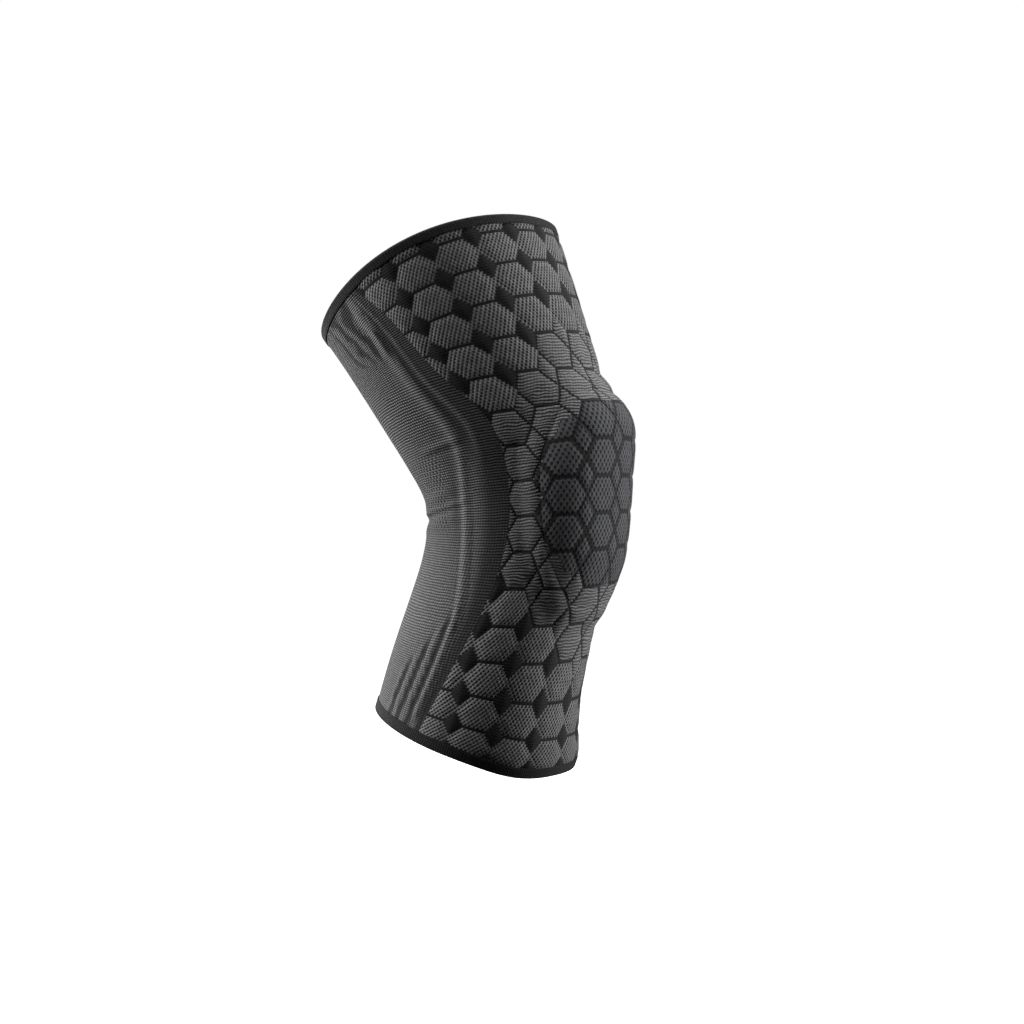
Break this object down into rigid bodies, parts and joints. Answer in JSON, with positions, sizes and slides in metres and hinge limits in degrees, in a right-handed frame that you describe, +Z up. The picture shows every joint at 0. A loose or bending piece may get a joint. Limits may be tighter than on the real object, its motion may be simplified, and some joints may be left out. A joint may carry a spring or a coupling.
{
  "type": "knee pad",
  "caption": "Knitted compression sleeve in the form of a bent leg, open at thigh and calf, with folded hems and a raised foam pad over the kneecap.",
  "frame": {"origin": "on the leg axis in the middle of the knee hollow", "axes": "+Z up along the lower thigh and calf together, the pad faces -Y, the thigh and the calf both lean back towards +Y"},
  "size_m": [0.1391, 0.172, 0.296],
  "materials": {
    "jacquard_knit": "matte ribbed knit",
    "pad_knit": "matte open knit over foam",
    "hem_elastic": "matte elastic edging"
  },
  "bodies": {
    "root": {"sleeve": "jacquard_knit", "knee_pad": "pad_knit", "top_hem": "hem_elastic", "bottom_hem": "hem_elastic"}
  },
  "joints": []
}
